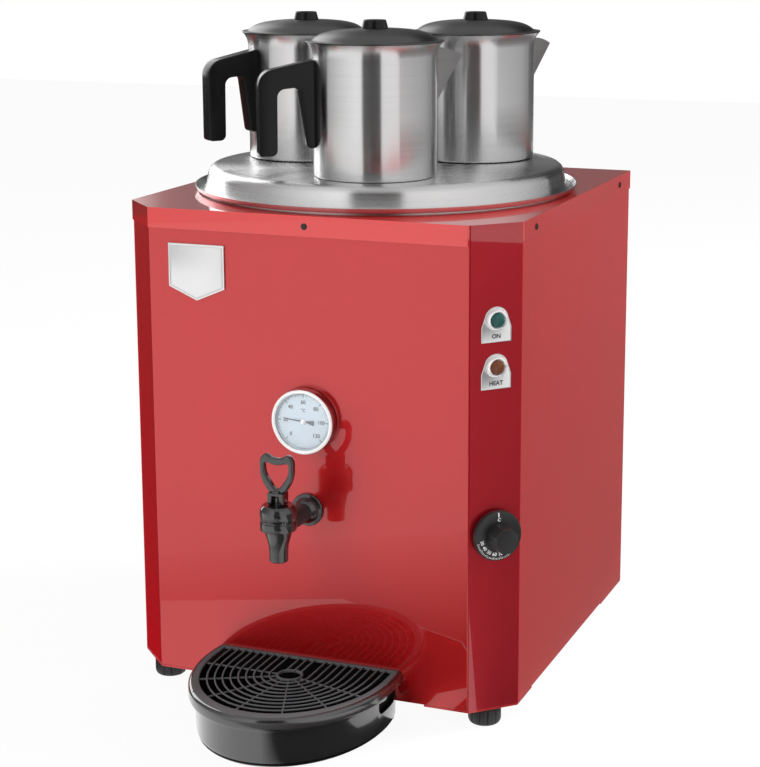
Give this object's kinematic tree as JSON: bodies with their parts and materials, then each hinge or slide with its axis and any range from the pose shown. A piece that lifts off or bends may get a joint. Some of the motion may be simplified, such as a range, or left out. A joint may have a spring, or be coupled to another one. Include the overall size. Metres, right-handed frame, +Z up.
{
  "type": "hot water urn",
  "caption": "Counter-top hot water urn: square painted cabinet with a lever tap over a drip tray, dial thermometer, thermostat, and teapots on a round steam lid.",
  "frame": {"origin": "on the floor under the middle of the whole urn, its drip tray included", "axes": "+X to the right seen from the tap side, +Y to the rear, +Z up; the tap is at -Y"},
  "size_m": [0.4112, 0.583, 0.6583],
  "materials": {
    "red_paint": "gloss enamel",
    "galvanised_sheet": "galvanised",
    "screw_steel": "plated",
    "badge_metal": "satin",
    "foot_rubber": "matt",
    "tank_steel": "satin",
    "mineral_wool": "fibrous",
    "element_sheath": "heat tinted",
    "black_nylon": "moulded",
    "terminal_plastic": "moulded",
    "gauge_metal": "polished",
    "dial_face": "matt print",
    "gauge_window": "clear",
    "needle_metal": "satin",
    "tap_plastic": "moulded gloss",
    "seal_rubber": "soft",
    "spring_steel": "drawn wire",
    "lamp_plate_metal": "satin",
    "lamp_bezel": "polished",
    "green_plastic": "translucent",
    "amber_plastic": "translucent",
    "knob_plastic": "moulded",
    "capillary_copper": "drawn tube",
    "tray_plastic": "moulded gloss",
    "grate_plastic": "satin",
    "lid_steel": "polished",
    "pot_steel": "brushed",
    "pot_lid_steel": "satin",
    "handle_phenolic": "moulded"
  },
  "bodies": {
    "cabinet": {"front_panel": "red_paint", "left_side_panel": "red_paint", "right_side_panel": "red_paint", "rear_panel": "red_paint", "control_panel": "red_paint", "top_cover": "red_paint", "corner_plates": "red_paint", "base_plate": "galvanised_sheet", "tank_stand": "galvanised_sheet", "panel_screws": "screw_steel", "foot_lock_nuts": "screw_steel", "badge_plate": "badge_metal", "tank_shell": "tank_steel", "heater_flange": "tank_steel", "drain_pipe": "tank_steel", "tank_insulation": "mineral_wool", "heating_element": "element_sheath", "drain_cap": "black_nylon", "cable_gland": "black_nylon", "thermostat_body": "black_nylon", "terminal_block": "terminal_plastic", "gauge_case": "gauge_metal", "gauge_bezel": "gauge_metal", "gauge_dial": "dial_face", "gauge_glass": "gauge_window", "tap_body": "tap_plastic", "tap_cap": "tap_plastic", "tap_lock_nut": "tap_plastic", "tap_spring": "spring_steel", "lamp_plates": "lamp_plate_metal", "lamp_housings": "lamp_bezel", "green_lens": "green_plastic", "amber_lens": "amber_plastic", "thermostat_bulb": "capillary_copper"},
    "tap_plunger": {"tap_plunger": "tap_plastic", "tap_seal": "seal_rubber", "tap_pivot_pin": "spring_steel"},
    "tap_lever": {"tap_lever": "tap_plastic"},
    "gauge_pointer": {"gauge_pointer": "needle_metal"},
    "thermostat_knob": {"thermostat_knob": "knob_plastic", "thermostat_shaft": "spring_steel"},
    "drip_tray": {"drip_tray": "tray_plastic"},
    "drip_grate": {"drip_grate": "grate_plastic"},
    "steam_lid": {"steam_lid": "lid_steel"},
    "front_pot": {"front_pot": "pot_steel", "front_pot_handle": "handle_phenolic"},
    "front_pot_lid": {"front_pot_lid": "pot_lid_steel", "front_pot_knob": "handle_phenolic"},
    "right_pot": {"right_pot": "pot_steel", "right_pot_handle": "handle_phenolic"},
    "right_pot_lid": {"right_pot_lid": "pot_lid_steel", "right_pot_knob": "handle_phenolic"},
    "left_pot": {"left_pot": "pot_steel", "left_pot_handle": "handle_phenolic"},
    "left_pot_lid": {"left_pot_lid": "pot_lid_steel", "left_pot_knob": "handle_phenolic"},
    "foot_front_left": {"foot_front_left": "foot_rubber"},
    "foot_front_right": {"foot_front_right": "foot_rubber"},
    "foot_rear_left": {"foot_rear_left": "foot_rubber"},
    "foot_rear_right": {"foot_rear_right": "foot_rubber"}
  },
  "joints": [
    {"name": "tap_plunger_lift", "type": "slide", "parent": "cabinet", "child": "tap_plunger", "axis": [0, 0, 1], "range_m": [0, 0.0043], "deforming": ["tap_spring"]},
    {"name": "tap_lever_tilt", "type": "hinge", "parent": "tap_plunger", "child": "tap_lever", "pos_m": [-0.00332, -0.2035, 0.2297], "axis": [1, 0, 0], "range_deg": [0, 40], "stiffness_Nm_per_rad": 0.15, "springref_deg": -20.05},
    {"name": "gauge_pointer_turn", "type": "hinge", "parent": "cabinet", "child": "gauge_pointer", "pos_m": [-0.00332, -0.1365, 0.2895], "axis": [0, -1, 0], "range_deg": [-220.5, 49.5], "stiffness_Nm_per_rad": 0.001},
    {"name": "thermostat_turn", "type": "hinge", "parent": "cabinet", "child": "thermostat_knob", "pos_m": [0.17828, -0.1181, 0.1925], "axis": [0.7071, -0.7071, 0], "range_deg": [-270, 0]},
    {"name": "drip_tray_pull", "type": "slide", "parent": "cabinet", "child": "drip_tray", "axis": [0, -1, 0], "range_m": [0, 0.16]},
    {"name": "drip_grate_lift", "type": "slide", "parent": "drip_tray", "child": "drip_grate", "axis": [0, 0, 1], "range_m": [0, 0.05]},
    {"name": "steam_lid_lift", "type": "slide", "parent": "cabinet", "child": "steam_lid", "axis": [0, 0, 1], "range_m": [0, 0.12]},
    {"name": "front_pot_lift", "type": "slide", "parent": "steam_lid", "child": "front_pot", "axis": [0, 0, 1], "range_m": [0, 0.15]},
    {"name": "front_pot_lid_lift", "type": "slide", "parent": "front_pot", "child": "front_pot_lid", "axis": [0, 0, 1], "range_m": [0, 0.06]},
    {"name": "right_pot_lift", "type": "slide", "parent": "steam_lid", "child": "right_pot", "axis": [0, 0, 1], "range_m": [0, 0.15]},
    {"name": "right_pot_lid_lift", "type": "slide", "parent": "right_pot", "child": "right_pot_lid", "axis": [0, 0, 1], "range_m": [0, 0.06]},
    {"name": "left_pot_lift", "type": "slide", "parent": "steam_lid", "child": "left_pot", "axis": [0, 0, 1], "range_m": [0, 0.15]},
    {"name": "left_pot_lid_lift", "type": "slide", "parent": "left_pot", "child": "left_pot_lid", "axis": [0, 0, 1], "range_m": [0, 0.06]},
    {"name": "foot_front_left_turn", "type": "hinge", "parent": "cabinet", "child": "foot_front_left", "pos_m": [-0.17232, -0.1062, 0.009], "axis": [0, 0, 1], "range_deg": [-180, 180]},
    {"name": "foot_front_right_turn", "type": "hinge", "parent": "cabinet", "child": "foot_front_right", "pos_m": [0.16568, -0.1062, 0.009], "axis": [0, 0, 1], "range_deg": [-180, 180]},
    {"name": "foot_rear_left_turn", "type": "hinge", "parent": "cabinet", "child": "foot_rear_left", "pos_m": [-0.17232, 0.2452, 0.009], "axis": [0, 0, 1], "range_deg": [-180, 180]},
    {"name": "foot_rear_right_turn", "type": "hinge", "parent": "cabinet", "child": "foot_rear_right", "pos_m": [0.16568, 0.2452, 0.009], "axis": [0, 0, 1], "range_deg": [-180, 180]}
  ],
  "couplings": [
    {"joint": "tap_lever_tilt", "follows": "tap_plunger_lift", "rad_per_m": 162}
  ]
}
